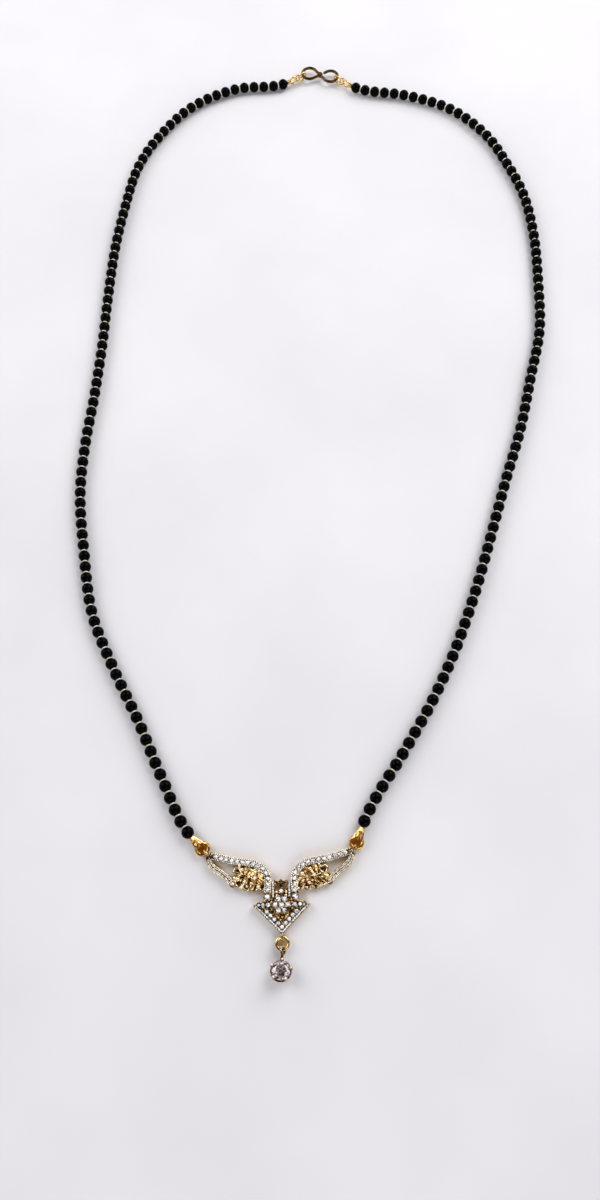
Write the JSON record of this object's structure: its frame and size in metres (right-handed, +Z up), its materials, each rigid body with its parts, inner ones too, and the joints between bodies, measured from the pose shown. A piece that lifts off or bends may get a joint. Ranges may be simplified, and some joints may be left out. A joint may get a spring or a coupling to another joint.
{
  "type": "mangalsutra necklace",
  "caption": "Mangalsutra laid flat: two strings of round black beads, a pierced gold-tone wing pendant with clear stones, a stone drop and a figure-eight hook clasp.",
  "frame": {"origin": "middle of the footprint, on the surface that the necklace lies on", "axes": "+Z up from the surface, +Y along the surface from the pendant's drop to the hook at the back of the neck, +X to the right as the pendant is seen from above"},
  "size_m": [0.1452, 0.2859, 0.0046],
  "materials": {
    "black_glass": "polished",
    "thread": "matt",
    "pale_gold": "plated and polished",
    "deep_gold": "plated and polished",
    "dark_gold": "worn plating",
    "clear_stone": "cut and polished"
  },
  "bodies": {
    "root": {"bead_string_left": "black_glass", "bead_string_right": "black_glass", "thread_left": "thread", "thread_right": "thread", "pendant_frame": "pale_gold", "wing_stones_left": "clear_stone", "wing_stones_right": "clear_stone", "kite_stones": "clear_stone", "flower_stone": "clear_stone", "petal_stone_1": "clear_stone", "petal_stone_2": "clear_stone", "petal_stone_3": "clear_stone", "petal_stone_4": "clear_stone", "petal_stone_5": "clear_stone", "petal_stone_6": "clear_stone", "shoulder_stone_left": "clear_stone", "shoulder_stone_right": "clear_stone", "drop_ring": "deep_gold", "drop_setting": "pale_gold", "drop_stone": "clear_stone", "tip_ring_left": "deep_gold", "tip_ring_right": "deep_gold", "wing_loop_left": "deep_gold", "wing_loop_right": "deep_gold", "hook_loop_left": "deep_gold", "hook_loop_right": "deep_gold", "flat_link_left": "deep_gold", "flat_link_right": "deep_gold", "upright_link_left": "deep_gold", "upright_link_right": "deep_gold", "clasp_hook": "dark_gold"}
  },
  "joints": []
}
